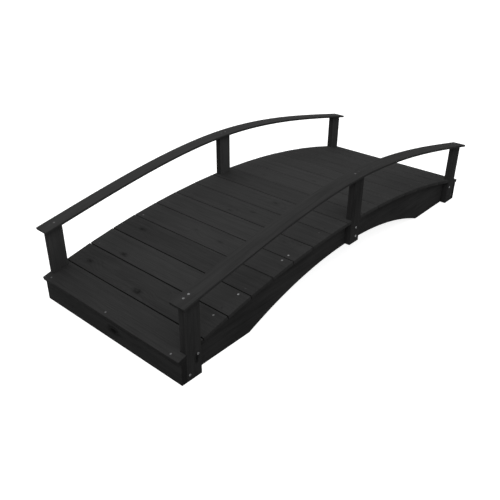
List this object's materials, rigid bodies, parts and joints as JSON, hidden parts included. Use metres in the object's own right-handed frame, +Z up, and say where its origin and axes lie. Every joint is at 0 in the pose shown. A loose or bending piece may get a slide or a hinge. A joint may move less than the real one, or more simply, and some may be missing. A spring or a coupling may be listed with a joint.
{
  "type": "arched garden footbridge",
  "caption": "Low arched wooden garden footbridge, stained black: flat deck boards over two arched side beams, with flat posts, bent handrail strips and end fascias.",
  "frame": {"origin": "on the ground, under the middle of the bridge", "axes": "+X along the bridge towards its far end, +Y to its left side, +Z up"},
  "size_m": [1.5238, 0.611, 0.3333],
  "materials": {
    "deck_wood": "black stain, matt",
    "frame_wood": "black stain, matt",
    "rail_wood": "black stain, matt"
  },
  "bodies": {
    "root": {"deck_board_01": "deck_wood", "deck_board_02": "deck_wood", "deck_board_03": "deck_wood", "deck_board_04": "deck_wood", "deck_board_05": "deck_wood", "deck_board_06": "deck_wood", "deck_board_07": "deck_wood", "deck_board_08": "deck_wood", "deck_board_09": "deck_wood", "deck_board_10": "deck_wood", "deck_board_11": "deck_wood", "deck_board_12": "deck_wood", "deck_board_13": "deck_wood", "deck_board_14": "deck_wood", "deck_board_15": "deck_wood", "deck_board_16": "deck_wood", "deck_board_17": "deck_wood", "left_beam": "frame_wood", "right_beam": "frame_wood", "near_fascia": "frame_wood", "far_fascia": "frame_wood", "left_near_post": "frame_wood", "left_middle_post": "frame_wood", "left_far_post": "frame_wood", "right_near_post": "frame_wood", "right_middle_post": "frame_wood", "right_far_post": "frame_wood", "left_rail": "rail_wood", "right_rail": "rail_wood"}
  },
  "joints": []
}
